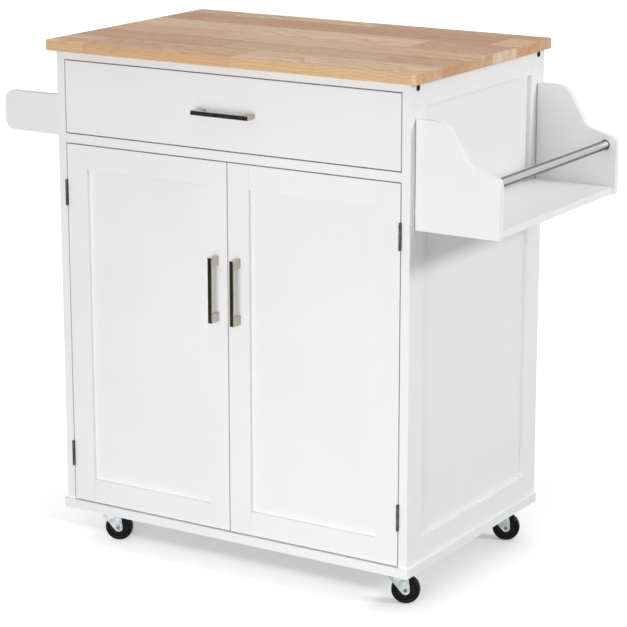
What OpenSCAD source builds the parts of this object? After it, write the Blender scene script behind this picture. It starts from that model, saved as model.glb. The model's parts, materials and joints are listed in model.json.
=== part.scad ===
// Kitchen island cart: a painted cabinet on four swivel casters with a solid wood worktop,
// one drawer, two inset doors, a spice rack on the right and a towel rail on the left.
// X runs along the front, Y runs back, Z is up. The origin is under the middle of the whole
// cart, racks and pulls included, on the floor.

/* [Cabinet] */
// Height of the worktop above the floor
total_h = 914; // [880:1:960]
// Width over the two side frames
body_w = 702; // [640:1:800]
// Depth from the front of the doors to the back
body_d = 468; // [440:1:520]
// Thickness of the side frames
side_t = 16; // [15:1:18]
// Width of the upright stiles of a side frame
side_stile_w = 48; // [44:1:56]
// Height of the rails of a side frame
side_rail_h = 42; // [38:1:50]
// Thickness of the board under the cabinet
base_t = 16; // [15:1:18]
// How far the base board stands proud at the front and sides
base_proud = 4; // [2:1:6]

/* [Worktop] */
// Thickness of the worktop
top_t = 18; // [16:1:24]
// Overhang of the worktop on each side
top_side = 16; // [10:1:22]
// Overhang of the worktop at the front
top_front = 14; // [10:1:18]
// Corner radius of the worktop in plan
top_corner_r = 9; // [4:1:12]

/* [Front] */
// Gap round the drawer and the doors
reveal = 2; // [2:0.5:3]
// Height of the strip above the drawer
top_rail_h = 14.5; // [14:0.5:18]
// Height of the rail between drawer and doors
mid_rail_h = 16; // [15:1:20]
// Height of the drawer front
drawer_front_h = 125.5; // [120:0.5:132]
// Thickness of the drawer front and the doors
front_t = 18; // [16:1:19]
// Width of the stiles and rails of a door
door_frame_w = 42; // [38:1:50]
// Depth of the recess in front of the door and side panels
recess = 7; // [5:0.5:8]
// Thickness of the door and side panels
panel_t = 6; // [5:0.5:6]

/* [Pulls] */
// Length of a bar pull
pull_len = 114; // [100:1:130]
// Width of the bar
pull_w = 8; // [6:1:10]
// How far a pull stands out
pull_out = 23; // [20:1:28]
// Height of the middle of the door pulls above the floor
pull_z = 516; // [440:1:560]

/* [Hinges] */
// Length of a hinge barrel
hinge_h = 44; // [40:1:54]
// Distance from the end of the door to the middle of a hinge
hinge_end = 86; // [76:1:110]

/* [Drawer] */
// Depth of the drawer box
drawer_d = 410; // [380:1:412]
// Height of the drawer box sides
drawer_side_h = 100; // [80:1:104]
// Thickness of the drawer box sides
drawer_side_t = 12; // [10:1:15]

/* [Inside] */
// Height of the top of the adjustable shelf
shelf_z = 420; // [340:1:480]
// Thickness of the shelf
shelf_t = 15; // [12:1:18]

/* [Racks] */
// How far the spice rack stands out
rack_out = 153; // [140:1:170]
// Height of the spice rack where it meets the cabinet
rack_h = 180; // [170:1:190]
// Height of the bottom of the spice rack above the floor
rack_z = 657.5; // [620:0.5:680]
// How far the towel rail brackets stand out
towel_out = 127; // [110:1:140]
// Height of a towel rail bracket
towel_h = 70; // [64:1:84]
// Thickness of the rack panels and brackets
rack_t = 12; // [10:1:15]
// Distance from the cabinet's front or back to a rack panel
rack_inset = 14; // [10:1:18]
// Diameter of the rails
bar_d = 16; // [12:0.5:18]

/* [Casters] */
// Diameter of a wheel
wheel_d = 50; // [46:1:52]
// Width of a wheel
wheel_w = 16; // [14:1:18]
// Distance of the axle behind the swivel axis
trail = 20; // [18:1:24]
// Distance of the swivel axis from the cabinet's sides
caster_x_in = 52; // [46:1:70]
// Distance of the swivel axis from the cabinet's front and back
caster_y_in = 50; // [46:1:70]
// Height of the caster under the base board
caster_h = 68; // [68:1:74]
// Turn of the casters about their swivel axes in the stored pose
caster_turn = 25; // [0:5:355]

/* [Hidden] */
$fn = 48;

paint = [0.93, 0.93, 0.92];
wood = [0.80, 0.62, 0.42];
steel = [0.72, 0.73, 0.74];
nickel = [0.70, 0.67, 0.60];
zinc = [0.70, 0.75, 0.77];
black = [0.06, 0.06, 0.06];
inner_wood = [0.86, 0.82, 0.74];

half_w = body_w / 2;
in_x = half_w - side_t;                     // inner face of a side frame
mid_x = (rack_out - towel_out) / 2;         // middle of the whole cart in X
mid_y = (body_d - pull_out) / 2;            // and in Y
carcass_top = total_h - top_t;
base_top = caster_h + base_t;
groove = 8;                                 // how far a panel sits in its frame
side_panel_x = half_w - recess - panel_t;
front_x = in_x - reveal;                    // outer edge of drawer front and doors
drawer_top = carcass_top - top_rail_h - reveal;
drawer_low = drawer_top - drawer_front_h;
mid_rail_z = drawer_low - reveal - mid_rail_h;
door_top = mid_rail_z - reveal;
door_low = base_top + reveal;
door_in = reveal / 2;                       // edge of a door at the middle gap
top_rail_d = 60;
mid_rail_d = 50;
rear_rail_t = 20;
rear_rail_h = 60;
back_t = 6;
back_y = body_d - recess - back_t;         // the back panel is let in like the side panels
bolt_r = 3;
bolt_head_r = 5;
bolt_l = 48;
bolt_z = carcass_top - 9;
bolt_y = [21, back_y - rear_rail_t / 2];
slide_gap = 13;                             // room for a slide beside the drawer box
slide_h = 35;
slide_l = 400;
slide_y = front_t + 2;
sheet = 1.2;                                // sheet steel of slides and hinges
slide_play = 0.4;
box_z = drawer_low + 10;
box_x = in_x - slide_gap;
slide_z = box_z + 36;
bottom_t = 4;
bottom_z = box_z + 10;
bottom_groove = 6;
pin_r = 2.5;
pin_hole_l = 10;
pin_step = 64;
shelf_low = shelf_z - shelf_t;
shelf_y = [24, back_y - 1];
pin_y = [side_stile_w - 16, body_d - side_stile_w + 20];
hinge_y = -2.7;
hinge_x = in_x - reveal / 2;
knuckle_r = 2.4;
hinge_pin_r = 1.2;
hinge_fit = 0.05;
knuckle_gap = 0.3;
leaf_d = 15;
leaf_in = 0.4;                              // how far a leaf sits off the barrel's axis
hinge_z = [door_low + hinge_end, door_top - hinge_end];
catch_w = 62;
catch_d = 14;
catch_h = 11;
strike_t = 1;
strike_play = 0.4;
post_w = 16;
bar_t = 4;
drawer_pull_z = drawer_low + drawer_front_h / 2;
door_pull_x = door_in + door_frame_w / 2;
rack_shelf_t = 13;
rack_shelf_out = rack_out - 4;
rack_bar_in = 21;                           // from the tip of a panel to its rail
rack_bar_low = 15;                          // and down from the top of the tip
rack_tip_h = 99;                            // height of a rack panel near its tip
rack_shoulder = 40;                         // flat length at the top of a rack panel
towel_z = rack_z + rack_h - towel_h - 23;
rack_gap = 1.5;                             // between a rack panel and the side frame
pad_r = 4;                                  // round pads bridge that gap
towel_bar_in = 22;
towel_corner_r = 18;
socket_l = 6;                               // how far a rail sits in each panel
socket_fit = 0.05;
caster_at = [for (y = [caster_y_in, body_d - caster_y_in], x = [-1, 1])
  [x * (half_w - caster_x_in), y]];
plate_t = 2;
plate_w = 44;
plate_d = 58;
race_r = 17;
crown_t = 3.5;
crown_r = 18;
crown_z = caster_h - 14;
swivel_play = 0.4;
race_z = crown_z + crown_t + swivel_play;    // underside of the upper race
kingpin_r = 4;
kingpin_fit = 0.08;
fork_t = 2;
fork_in = wheel_w / 2 + 1.5;                // inner face of a fork leg
fork_eye_r = 7.6;
fork_back = -13;                            // rear end of a fork leg at the crown
fork_front = trail + 4.5;                   // and its front end
axle_r = 2.6;
axle_fit = 0.08;
rivet_r = 3.5;
rivet_t = 0.9;
screw_r = 2;
screw_in = [16, 22];

front_rack_y = rack_inset;
rear_rack_y = body_d - rack_inset - rack_t;
rail_y0 = rack_inset + rack_t;
rail_y1 = rear_rack_y;
axle_c = [trail, wheel_d / 2];
crown_top = crown_z + crown_t;

function arc(c, r, a0, a1, n = 10) =
  [for (i = [0 : n]) let (a = a0 + (a1 - a0) * i / n) [c[0] + r * cos(a), c[1] + r * sin(a)]];

// Outline of a spice rack panel: a flat shoulder, a drop, a hollow and a rounded tip.
drop_a = 59;
tip_a = 15;
shoulder_r = 28;
hollow_r = 30;
tip_r = 10;
drop_l = 51;                                // straight length between shoulder and hollow
shoulder_c = [rack_shoulder, rack_h - shoulder_r];
drop_end = shoulder_c + shoulder_r * [sin(drop_a), cos(drop_a)] + drop_l * [cos(drop_a), -sin(drop_a)];
hollow_c = drop_end + hollow_r * [sin(drop_a), cos(drop_a)];
rack_outline = concat(
  [[rack_gap, 0], [rack_gap, rack_h]],
  arc(shoulder_c, shoulder_r, 90, 90 - drop_a),
  arc(hollow_c, hollow_r, 270 - drop_a, 270 - tip_a),
  arc([rack_out - tip_r, rack_tip_h - tip_r], tip_r, 90 - tip_a, 0),
  [[rack_out, 0]]
);

towel_outline = concat(
  [[0, towel_h], [0, 0]],
  arc([-towel_out + towel_corner_r, towel_corner_r], towel_corner_r, 270, 180),
  arc([-towel_out + towel_corner_r, towel_h - towel_corner_r], towel_corner_r, 180, 90)
);

// Everything is drawn round the middle of the cabinet's front and moved to the origin here.
module placed() {
  translate([-mid_x, -mid_y, 0]) children();
}

module block(lo, hi) {
  translate(lo) cube(hi - lo);
}

module both_sides() {
  children();
  mirror([1, 0, 0]) children();
}

// A flat shape in X and Z, given thickness from y0 towards the back.
module upright(y0, t) {
  translate([0, y0 + t, 0]) rotate([90, 0, 0]) linear_extrude(t) children();
}

module rod_y(x, z, y0, l, r) {
  translate([x, y0, z]) rotate([-90, 0, 0]) cylinder(h = l, r = r);
}

module rod_x(y, z, x0, l, r) {
  translate([x0, y, z]) rotate([0, 90, 0]) cylinder(h = l, r = r);
}

module worktop() {
  x = half_w + top_side;
  r = top_corner_r;
  y0 = -top_front;
  color(wood) placed() translate([0, 0, carcass_top]) linear_extrude(top_t) union() {
    translate([-x + r, y0]) square([2 * x - 2 * r, body_d - y0]);
    translate([-x, y0 + r]) square([2 * x, body_d - y0 - 2 * r]);
    for (sx = [-1, 1], y = [y0 + r, body_d - r]) translate([sx * (x - r), y]) circle(r);
  }
}

module base_board() {
  x = half_w + base_proud;
  color(paint) placed() difference() {
    block([-x, -base_proud, caster_h], [x, body_d, base_top]);
    caster_screw_places() translate([0, 0, caster_h - 1]) cylinder(h = 11, r = screw_r);
  }
}

module back_panel() {
  color(paint) placed()
    block([-in_x, back_y, base_top], [in_x, back_y + back_t, carcass_top]);
}

module bolt_holes(l) {
  for (y = bolt_y) rod_x(y, bolt_z, half_w - l, l + 1, bolt_r);
}

module front_top_rail() {
  color(paint) placed() difference() {
    block([-in_x, 0, carcass_top - top_rail_h], [in_x, top_rail_d, carcass_top]);
    both_sides() bolt_holes(bolt_l);
  }
}

module front_mid_rail() {
  color(paint) placed()
    block([-in_x, 0, mid_rail_z], [in_x, mid_rail_d, mid_rail_z + mid_rail_h]);
}

module rear_top_rail() {
  color(paint) placed() difference() {
    block([-in_x, back_y - rear_rail_t, carcass_top - rear_rail_h], [in_x, back_y, carcass_top]);
    both_sides() bolt_holes(bolt_l);
  }
}

module side_panel_board() {
  w = side_stile_w - groove;
  h = side_rail_h - groove;
  block([side_panel_x, w, base_top + h], [side_panel_x + panel_t, body_d - w, carcass_top - h]);
}

// Pockets for the hinge leaves, cut into the inner edge of the front stile.
module frame_leaf_pockets() {
  for (z = hinge_z)
    block([in_x - 1, -1, z - hinge_h / 2], [hinge_x + leaf_in + sheet, leaf_d, z + hinge_h / 2]);
}

module shelf_pin_holes() {
  for (y = pin_y, k = [-1 : 1])
    rod_x(y, shelf_low - pin_r + k * pin_step, in_x - 1, pin_hole_l + 1, pin_r);
}

module side_stiles() {
  color(paint) placed() difference() {
    union() {
      block([in_x, 0, base_top], [half_w, side_stile_w, carcass_top]);
      block([in_x, body_d - side_stile_w, base_top], [half_w, body_d, carcass_top]);
    }
    side_panel_board();
    frame_leaf_pockets();
    shelf_pin_holes();
    bolt_holes(bolt_l);
  }
}

module side_rails() {
  y1 = body_d - side_stile_w;
  color(paint) placed() difference() {
    union() {
      block([in_x, side_stile_w, base_top], [half_w, y1, base_top + side_rail_h]);
      block([in_x, side_stile_w, carcass_top - side_rail_h], [half_w, y1, carcass_top]);
    }
    side_panel_board();
  }
}

module side_panel() {
  color(paint) placed() side_panel_board();
}

// The left side is the right side mirrored about the middle of the cabinet.
module mirrored() {
  translate([-2 * mid_x, 0, 0]) mirror([1, 0, 0]) children();
}

module left_side_stiles() { mirrored() side_stiles(); }
module left_side_rails() { mirrored() side_rails(); }
module left_side_panel() { mirrored() side_panel(); }
module right_side_stiles() { side_stiles(); }
module right_side_rails() { side_rails(); }
module right_side_panel() { side_panel(); }

module top_brackets() {
  l = 22;
  w = 18;
  t = 2;
  color(zinc) placed() both_sides() for (y = [side_stile_w + 60, body_d - side_stile_w - 60]) {
    union() {
      block([in_x - t, y, carcass_top - l], [in_x, y + w, carcass_top]);
      block([in_x - l, y, carcass_top - t], [in_x, y + w, carcass_top]);
    }
  }
}

module connector_bolts() {
  socket_r = 2.9;
  color(black) placed() both_sides() for (y = bolt_y) difference() {
    union() {
      rod_x(y, bolt_z, half_w - bolt_l, bolt_l, bolt_r);
      rod_x(y, bolt_z, half_w, 1.2, bolt_head_r);
    }
    translate([half_w - 2, y, bolt_z]) rotate([0, 90, 0]) cylinder(h = 4, r = socket_r, $fn = 6);
  }
}

module shelf() {
  color(paint) placed()
    block([-in_x + 1.5, shelf_y[0], shelf_low], [in_x - 1.5, shelf_y[1], shelf_z]);
}

module shelf_pins() {
  collar_r = 4;
  color(steel) placed() both_sides() for (y = pin_y) union() {
    rod_x(y, shelf_low - pin_r, in_x - 9, 17, pin_r);
    rod_x(y, shelf_low - pin_r, in_x - 1, 1, collar_r);
  }
}

module door_catch() {
  color(black) placed()
    block([-catch_w / 2, front_t + strike_t + strike_play, mid_rail_z - catch_h],
      [catch_w / 2, front_t + strike_t + strike_play + catch_d, mid_rail_z]);
}

// One hinge leaf with its share of the barrel. A frame leaf has the two ends of the barrel and
// a door leaf has the middle.
module hinge_leaf(of_frame) {
  third = hinge_h / 3;
  sx = of_frame ? 1 : -1;
  spans = of_frame ? [[-1.5, -0.5], [0.5, 1.5]] : [[-0.5, 0.5]];
  cuts = of_frame ? [[-0.5, 0.5]] : [[-1.6, -0.5], [0.5, 1.6]];
  x0 = leaf_in;
  difference() {
    union() {
      block([sx > 0 ? x0 : -x0 - sheet, 0, -hinge_h / 2],
        [sx > 0 ? x0 + sheet : -x0, leaf_d - hinge_y, hinge_h / 2]);
      for (s = spans)
        translate([0, 0, s[0] * third]) cylinder(h = (s[1] - s[0]) * third, r = knuckle_r);
    }
    for (c = cuts) translate([0, 0, c[0] * third - knuckle_gap / 2])
      cylinder(h = (c[1] - c[0]) * third + knuckle_gap, r = knuckle_r + 0.4);
    translate([0, 0, -hinge_h])
      cylinder(h = 2 * hinge_h, r = hinge_pin_r + (of_frame ? 0 : hinge_fit));
  }
}

module hinge_frame_leaves() {
  color(nickel) placed() both_sides() for (z = hinge_z)
    translate([hinge_x, hinge_y, z]) hinge_leaf(true);
}

module hinge_pins() {
  tip = 1.2;
  color(nickel) placed() both_sides() for (z = hinge_z) translate([hinge_x, hinge_y, z]) union() {
    translate([0, 0, -hinge_h / 2 - tip]) cylinder(h = hinge_h + 2 * tip, r = hinge_pin_r);
    for (s = [-1, 1]) translate([0, 0, s * (hinge_h + tip) / 2 - tip / 2])
      cylinder(h = tip, r = knuckle_r - 0.6);
  }
}

module drawer_slide_channels() {
  y1 = slide_y + slide_l;
  lip = 10;
  color(steel) placed() both_sides() difference() {
    block([in_x - lip, slide_y, slide_z - slide_h / 2], [in_x, y1, slide_z + slide_h / 2]);
    block([in_x - lip - 1, slide_y - 1, slide_z - slide_h / 2 + sheet],
      [in_x - sheet, y1 + 1, slide_z + slide_h / 2 - sheet]);
  }
}

module drawer_slide_runners() {
  y1 = slide_y + slide_l;
  h = slide_h / 2 - sheet - slide_play;
  x1 = in_x - sheet - 2;
  color(zinc) placed() both_sides() difference() {
    block([box_x, slide_y, slide_z - h], [x1, y1, slide_z + h]);
    block([box_x + sheet, slide_y - 1, slide_z - h + sheet], [x1 + 1, y1 + 1, slide_z + h - sheet]);
  }
}

module rack_panel(y0, socket_y) {
  color(paint) placed() difference() {
    union() {
      upright(y0, rack_t) translate([half_w, rack_z]) polygon(rack_outline);
      for (z = [30, rack_h - 30])
        rod_x(y0 + rack_t / 2, rack_z + z, half_w, rack_gap + 1, pad_r);
    }
    rod_y(half_w + rack_out - rack_bar_in, rack_z + rack_tip_h - rack_bar_low, socket_y, socket_l + 1,
      bar_d / 2 + socket_fit);
  }
}

module rack_front_panel() { rack_panel(front_rack_y, rail_y0 - socket_l); }
module rack_rear_panel() { rack_panel(rear_rack_y, rail_y1 - 1); }

module rack_shelf() {
  color(paint) placed()
    block([half_w, rail_y0, rack_z], [half_w + rack_shelf_out, rail_y1, rack_z + rack_shelf_t]);
}

module rack_bar() {
  color(steel) placed() rod_y(half_w + rack_out - rack_bar_in, rack_z + rack_tip_h - rack_bar_low,
    rail_y0 - socket_l, rail_y1 - rail_y0 + 2 * socket_l, bar_d / 2);
}

module towel_bracket(y0, socket_y) {
  color(paint) placed() difference() {
    upright(y0, rack_t) translate([-half_w, towel_z]) polygon(towel_outline);
    rod_y(-half_w - towel_out + towel_bar_in, towel_z + towel_h / 2, socket_y, socket_l + 1,
      bar_d / 2 + socket_fit);
  }
}

module towel_front_bracket() { towel_bracket(front_rack_y, rail_y0 - socket_l); }
module towel_rear_bracket() { towel_bracket(rear_rack_y, rail_y1 - 1); }

module towel_bar() {
  color(steel) placed() rod_y(-half_w - towel_out + towel_bar_in, towel_z + towel_h / 2,
    rail_y0 - socket_l, rail_y1 - rail_y0 + 2 * socket_l, bar_d / 2);
}

module drawer_bottom_board() {
  x = box_x - drawer_side_t + bottom_groove;
  block([-x, front_t - bottom_groove, bottom_z],
    [x, front_t + drawer_d - drawer_side_t + bottom_groove, bottom_z + bottom_t]);
}

module drawer_front() {
  color(paint) placed() difference() {
    block([-front_x, 0, drawer_low], [front_x, front_t, drawer_top]);
    drawer_bottom_board();
  }
}

module drawer_sides() {
  color(inner_wood) placed() difference() {
    both_sides() block([box_x - drawer_side_t, front_t, box_z],
      [box_x, front_t + drawer_d, box_z + drawer_side_h]);
    drawer_bottom_board();
  }
}

module drawer_back() {
  x = box_x - drawer_side_t;
  y = front_t + drawer_d - drawer_side_t;
  color(inner_wood) placed() difference() {
    block([-x, y, box_z], [x, y + drawer_side_t, box_z + drawer_side_h]);
    drawer_bottom_board();
  }
}

module drawer_bottom() {
  color(inner_wood) placed() drawer_bottom_board();
}

// A bar pull along X: a flat bar on two square posts.
module pull() {
  h = pull_w / 2;
  union() {
    block([-pull_len / 2, -pull_out, -h], [pull_len / 2, bar_t - pull_out, h]);
    for (x = [-pull_len / 2, pull_len / 2 - post_w])
      block([x, -pull_out, -h], [x + post_w, 0, h]);
  }
}

module drawer_pull() {
  color(nickel) placed() translate([0, 0, drawer_pull_z]) pull();
}

module door_pull(sx) {
  color(nickel) placed() translate([sx * door_pull_x, 0, pull_z]) rotate([0, 90, 0]) pull();
}

module door_panel_board() {
  w = door_frame_w - groove;
  block([door_in + w, recess, door_low + w], [front_x - w, recess + panel_t, door_top - w]);
}

module door_leaf_pockets() {
  for (z = hinge_z)
    block([hinge_x - leaf_in - sheet, -1, z - hinge_h / 2], [front_x + 1, leaf_d, z + hinge_h / 2]);
}

module door_stiles() {
  color(paint) placed() difference() {
    union() {
      block([door_in, 0, door_low], [door_in + door_frame_w, front_t, door_top]);
      block([front_x - door_frame_w, 0, door_low], [front_x, front_t, door_top]);
    }
    door_panel_board();
    door_leaf_pockets();
  }
}

module door_rails() {
  x0 = door_in + door_frame_w;
  x1 = front_x - door_frame_w;
  color(paint) placed() difference() {
    union() {
      block([x0, 0, door_low], [x1, front_t, door_low + door_frame_w]);
      block([x0, 0, door_top - door_frame_w], [x1, front_t, door_top]);
    }
    door_panel_board();
  }
}

module door_panel() {
  color(paint) placed() door_panel_board();
}

module door_leaves() {
  color(nickel) placed() for (z = hinge_z) translate([hinge_x, hinge_y, z]) hinge_leaf(false);
}

module door_strike() {
  x = 7;
  color(zinc) placed()
    block([x, front_t, door_top - 14], [x + 18, front_t + strike_t, door_top - 2]);
}

module left_door_stiles() { mirrored() door_stiles(); }
module left_door_rails() { mirrored() door_rails(); }
module left_door_panel() { mirrored() door_panel(); }
module left_hinge_leaves() { mirrored() door_leaves(); }
module left_door_strike() { mirrored() door_strike(); }
module left_door_pull() { door_pull(-1); }
module right_door_stiles() { door_stiles(); }
module right_door_rails() { door_rails(); }
module right_door_panel() { door_panel(); }
module right_hinge_leaves() { door_leaves(); }
module right_door_strike() { door_strike(); }
module right_door_pull() { door_pull(1); }

module caster_screw_places() {
  for (c = caster_at, sx = [-1, 1], sy = [-1, 1])
    translate([c[0] + sx * screw_in[0], c[1] + sy * screw_in[1], 0]) children();
}

// Fixed plate, upper race and kingpin of every caster.
module caster_plates() {
  head_r = 7;
  head_t = 2;
  color(zinc) placed() difference() {
    for (c = caster_at) translate([c[0], c[1], 0]) union() {
      translate([-plate_w / 2, -plate_d / 2, caster_h - plate_t]) cube([plate_w, plate_d, plate_t]);
      translate([0, 0, race_z]) cylinder(h = caster_h - plate_t - race_z, r = race_r);
      translate([0, 0, crown_z - swivel_play - head_t]) cylinder(h = head_t, r = head_r);
      translate([0, 0, crown_z - 1]) cylinder(h = crown_t + 3, r = kingpin_r);
    }
    caster_screw_places() translate([0, 0, caster_h - plate_t - 1]) cylinder(h = plate_t + 2, r = screw_r);
  }
}

module caster_screws() {
  head_r = 3.8;
  head_t = 2.2;
  color(zinc) placed() caster_screw_places() union() {
    translate([0, 0, caster_h - plate_t - head_t]) cylinder(h = head_t, r = head_r);
    translate([0, 0, caster_h - plate_t]) cylinder(h = 12, r = screw_r);
  }
}

// Direction from the axle in which a straight edge from point p meets the round eye.
function touch(p, side) =
  let (d = p - axle_c) atan2(d[1], d[0]) + side * acos(fork_eye_r / norm(d));

// A fork seen from the side: each leg runs from the crown down to a round eye at the axle.
module fork_outline() {
  back = [fork_back, crown_z];
  front = [fork_front, crown_top];
  polygon(concat(
    [[fork_back, crown_top], back],
    arc(axle_c, fork_eye_r, touch(back, 1), 360 + touch(front, -1), 18),
    [front]
  ));
}

// Everything that turns with a caster is drawn with its wheel trailing to +X.
module swivelled(k) {
  translate([caster_at[k][0], caster_at[k][1], 0]) rotate([0, 0, caster_turn]) children();
}

module fork(k) {
  w = fork_in + fork_t;
  lip = 0.25;
  color(zinc) placed() swivelled(k) difference() {
    union() {
      difference() {
        upright(-w, 2 * w) fork_outline();
        block([-wheel_d, -fork_in, -1], [wheel_d, fork_in, crown_z]);
      }
      translate([0, 0, crown_z + lip]) cylinder(h = crown_t - 2 * lip, r = crown_r);
    }
    translate([0, 0, crown_z - 1]) cylinder(h = crown_t + 2, r = kingpin_r + kingpin_fit);
    rod_y(axle_c[0], axle_c[1], -w - 1, 2 * w + 2, axle_r);
  }
}

module axle(k) {
  w = fork_in + fork_t;
  bore_r = 1.5;
  color(steel) placed() swivelled(k) difference() {
    union() {
      rod_y(axle_c[0], axle_c[1], -w, 2 * w, axle_r);
      rod_y(axle_c[0], axle_c[1], -w - rivet_t, rivet_t, rivet_r);
      rod_y(axle_c[0], axle_c[1], w, rivet_t, rivet_r);
    }
    rod_y(axle_c[0], axle_c[1], -w - rivet_t - 1, 5, bore_r);
    rod_y(axle_c[0], axle_c[1], w + rivet_t - 4, 5, bore_r);
  }
}

// Half section of a wheel: tread, rounded shoulders, and a hub that stands out to the fork.
module wheel(k) {
  r = wheel_d / 2;
  h = wheel_w / 2;
  boss = 0.9;
  dish = 2;
  edge = 2.5;
  rim_r = r - 6;
  hub_r = 8;
  bore_r = axle_r + axle_fit;
  near = [[bore_r, -h - boss], [hub_r, -h - boss], [hub_r + 1, dish - h], [rim_r - 1, dish - h], [rim_r, -h]];
  far = [for (i = [len(near) - 1 : -1 : 0]) [near[i][0], -near[i][1]]];
  tread = concat(arc([r - edge, edge - h], edge, 270, 360, 4), arc([r - edge, h - edge], edge, 0, 90, 4));
  color(black) placed() swivelled(k) translate([trail, 0, r]) rotate([90, 0, 0])
    rotate_extrude() polygon(concat(near, tread, far));
}

module front_left_fork() { fork(0); }
module front_left_axle() { axle(0); }
module front_left_wheel() { wheel(0); }
module front_right_fork() { fork(1); }
module front_right_axle() { axle(1); }
module front_right_wheel() { wheel(1); }
module rear_left_fork() { fork(2); }
module rear_left_axle() { axle(2); }
module rear_left_wheel() { wheel(2); }
module rear_right_fork() { fork(3); }
module rear_right_axle() { axle(3); }
module rear_right_wheel() { wheel(3); }

worktop();
base_board();
back_panel();
front_top_rail();
front_mid_rail();
rear_top_rail();
left_side_stiles();
left_side_rails();
left_side_panel();
right_side_stiles();
right_side_rails();
right_side_panel();
top_brackets();
connector_bolts();
shelf();
shelf_pins();
door_catch();
hinge_frame_leaves();
hinge_pins();
drawer_slide_channels();
rack_front_panel();
rack_rear_panel();
rack_shelf();
rack_bar();
towel_front_bracket();
towel_rear_bracket();
towel_bar();
drawer_front();
drawer_sides();
drawer_back();
drawer_bottom();
drawer_pull();
drawer_slide_runners();
left_door_stiles();
left_door_rails();
left_door_panel();
left_door_pull();
left_hinge_leaves();
left_door_strike();
right_door_stiles();
right_door_rails();
right_door_panel();
right_door_pull();
right_hinge_leaves();
right_door_strike();
caster_plates();
caster_screws();
front_left_fork();
front_left_axle();
front_left_wheel();
front_right_fork();
front_right_axle();
front_right_wheel();
rear_left_fork();
rear_left_axle();
rear_left_wheel();
rear_right_fork();
rear_right_axle();
rear_right_wheel();
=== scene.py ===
import json
import math

import bmesh
import bpy
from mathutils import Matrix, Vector


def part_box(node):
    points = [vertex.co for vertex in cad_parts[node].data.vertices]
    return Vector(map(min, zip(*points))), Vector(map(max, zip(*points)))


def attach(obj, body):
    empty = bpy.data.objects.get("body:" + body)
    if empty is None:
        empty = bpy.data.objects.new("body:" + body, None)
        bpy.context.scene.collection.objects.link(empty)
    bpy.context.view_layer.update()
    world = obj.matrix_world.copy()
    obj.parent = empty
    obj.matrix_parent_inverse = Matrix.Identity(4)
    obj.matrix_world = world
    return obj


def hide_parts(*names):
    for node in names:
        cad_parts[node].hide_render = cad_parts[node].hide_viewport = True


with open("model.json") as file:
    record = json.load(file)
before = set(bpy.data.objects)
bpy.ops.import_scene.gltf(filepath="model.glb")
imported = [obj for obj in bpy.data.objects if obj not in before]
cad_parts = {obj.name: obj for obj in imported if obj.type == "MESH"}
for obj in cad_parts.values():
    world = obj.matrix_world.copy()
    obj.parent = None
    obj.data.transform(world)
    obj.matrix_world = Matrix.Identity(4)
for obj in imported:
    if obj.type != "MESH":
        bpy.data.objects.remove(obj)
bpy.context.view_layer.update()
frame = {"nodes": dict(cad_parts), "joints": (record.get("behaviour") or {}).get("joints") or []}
nodes = frame["nodes"]
print("frame loaded:", len(nodes), "nodes")

mm = 0.001
casterNames = ("front_left", "front_right", "rear_left", "rear_right")


def span(node):
    low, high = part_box(node)
    return Vector(low), Vector(high)


def middle(node):
    low, high = span(node)
    return (low + high) / 2


# The camera stands well back, so the uprights stay nearly upright.
shot = {
    "azimuth": 31.75,  # degrees to the right of straight in front
    "elevation": 14.59,
    "lens": 138.4,
    "distance": 4.255,
    "aim": Vector((0.019, 0.0, 0.430)),
}


def makeCamera():
    turn = math.radians(shot["azimuth"])
    rise = math.radians(shot["elevation"])
    back = Vector((math.sin(turn) * math.cos(rise), -math.cos(turn) * math.cos(rise), math.sin(rise)))
    data = bpy.data.cameras.new("camera")
    data.sensor_width = 36
    data.lens = shot["lens"]
    data.clip_end = 100
    camera = bpy.data.objects.new("camera", data)
    camera.location = shot["aim"] + back * shot["distance"]
    camera.rotation_mode = "QUATERNION"
    camera.rotation_quaternion = (-back).to_track_quat("-Z", "Y")
    bpy.context.scene.collection.objects.link(camera)
    bpy.context.scene.camera = camera


makeCamera()
print("camera placed")


def toLinear(code):
    channels = [int(code[i : i + 2], 16) / 255 for i in (1, 3, 5)]
    return [c / 12.92 if c <= 0.04045 else ((c + 0.055) / 1.055) ** 2.4 for c in channels] + [1.0]


def addNode(tree, kind, settings=None, links=None):
    node = tree.nodes.new(kind)
    for key, value in (settings or {}).items():
        if key == "stops":
            ramp = node.color_ramp.elements
            while len(ramp) < len(value):
                ramp.new(0.5)
            for stop, (place, color) in zip(ramp, value):
                stop.position = place
                stop.color = color
        elif isinstance(key, int) or key in node.inputs:
            node.inputs[key].default_value = value
        else:
            setattr(node, key, value)
    for key, socket in (links or {}).items():
        tree.links.new(socket, node.inputs[key])
    return node


def startMaterial(name, **shader):
    material = bpy.data.materials.new(name)
    material.use_nodes = True
    tree = material.node_tree
    tree.nodes.clear()
    surface = addNode(tree, "ShaderNodeBsdfPrincipled", shader)
    addNode(tree, "ShaderNodeOutputMaterial", links={"Surface": surface.outputs[0]})
    place = addNode(tree, "ShaderNodeTexCoord").outputs["Object"]
    return material, tree, surface, place


def gray(value):
    return [value, value, value, 1.0]


def connect(tree, socket, node, name):
    tree.links.new(socket, node.inputs[name])


paint = {
    "color": "#F0F0F1",
    "shade": "#ECECED",
    "mottle": 220,  # mm between lighter and darker patches
    "peel": 3.0,  # mm between bumps; real spray peel is about 1 mm and wouldn't show
    "peelDepth": 0.015,  # mm
    "roughness": (0.38, 0.46),
}


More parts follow.
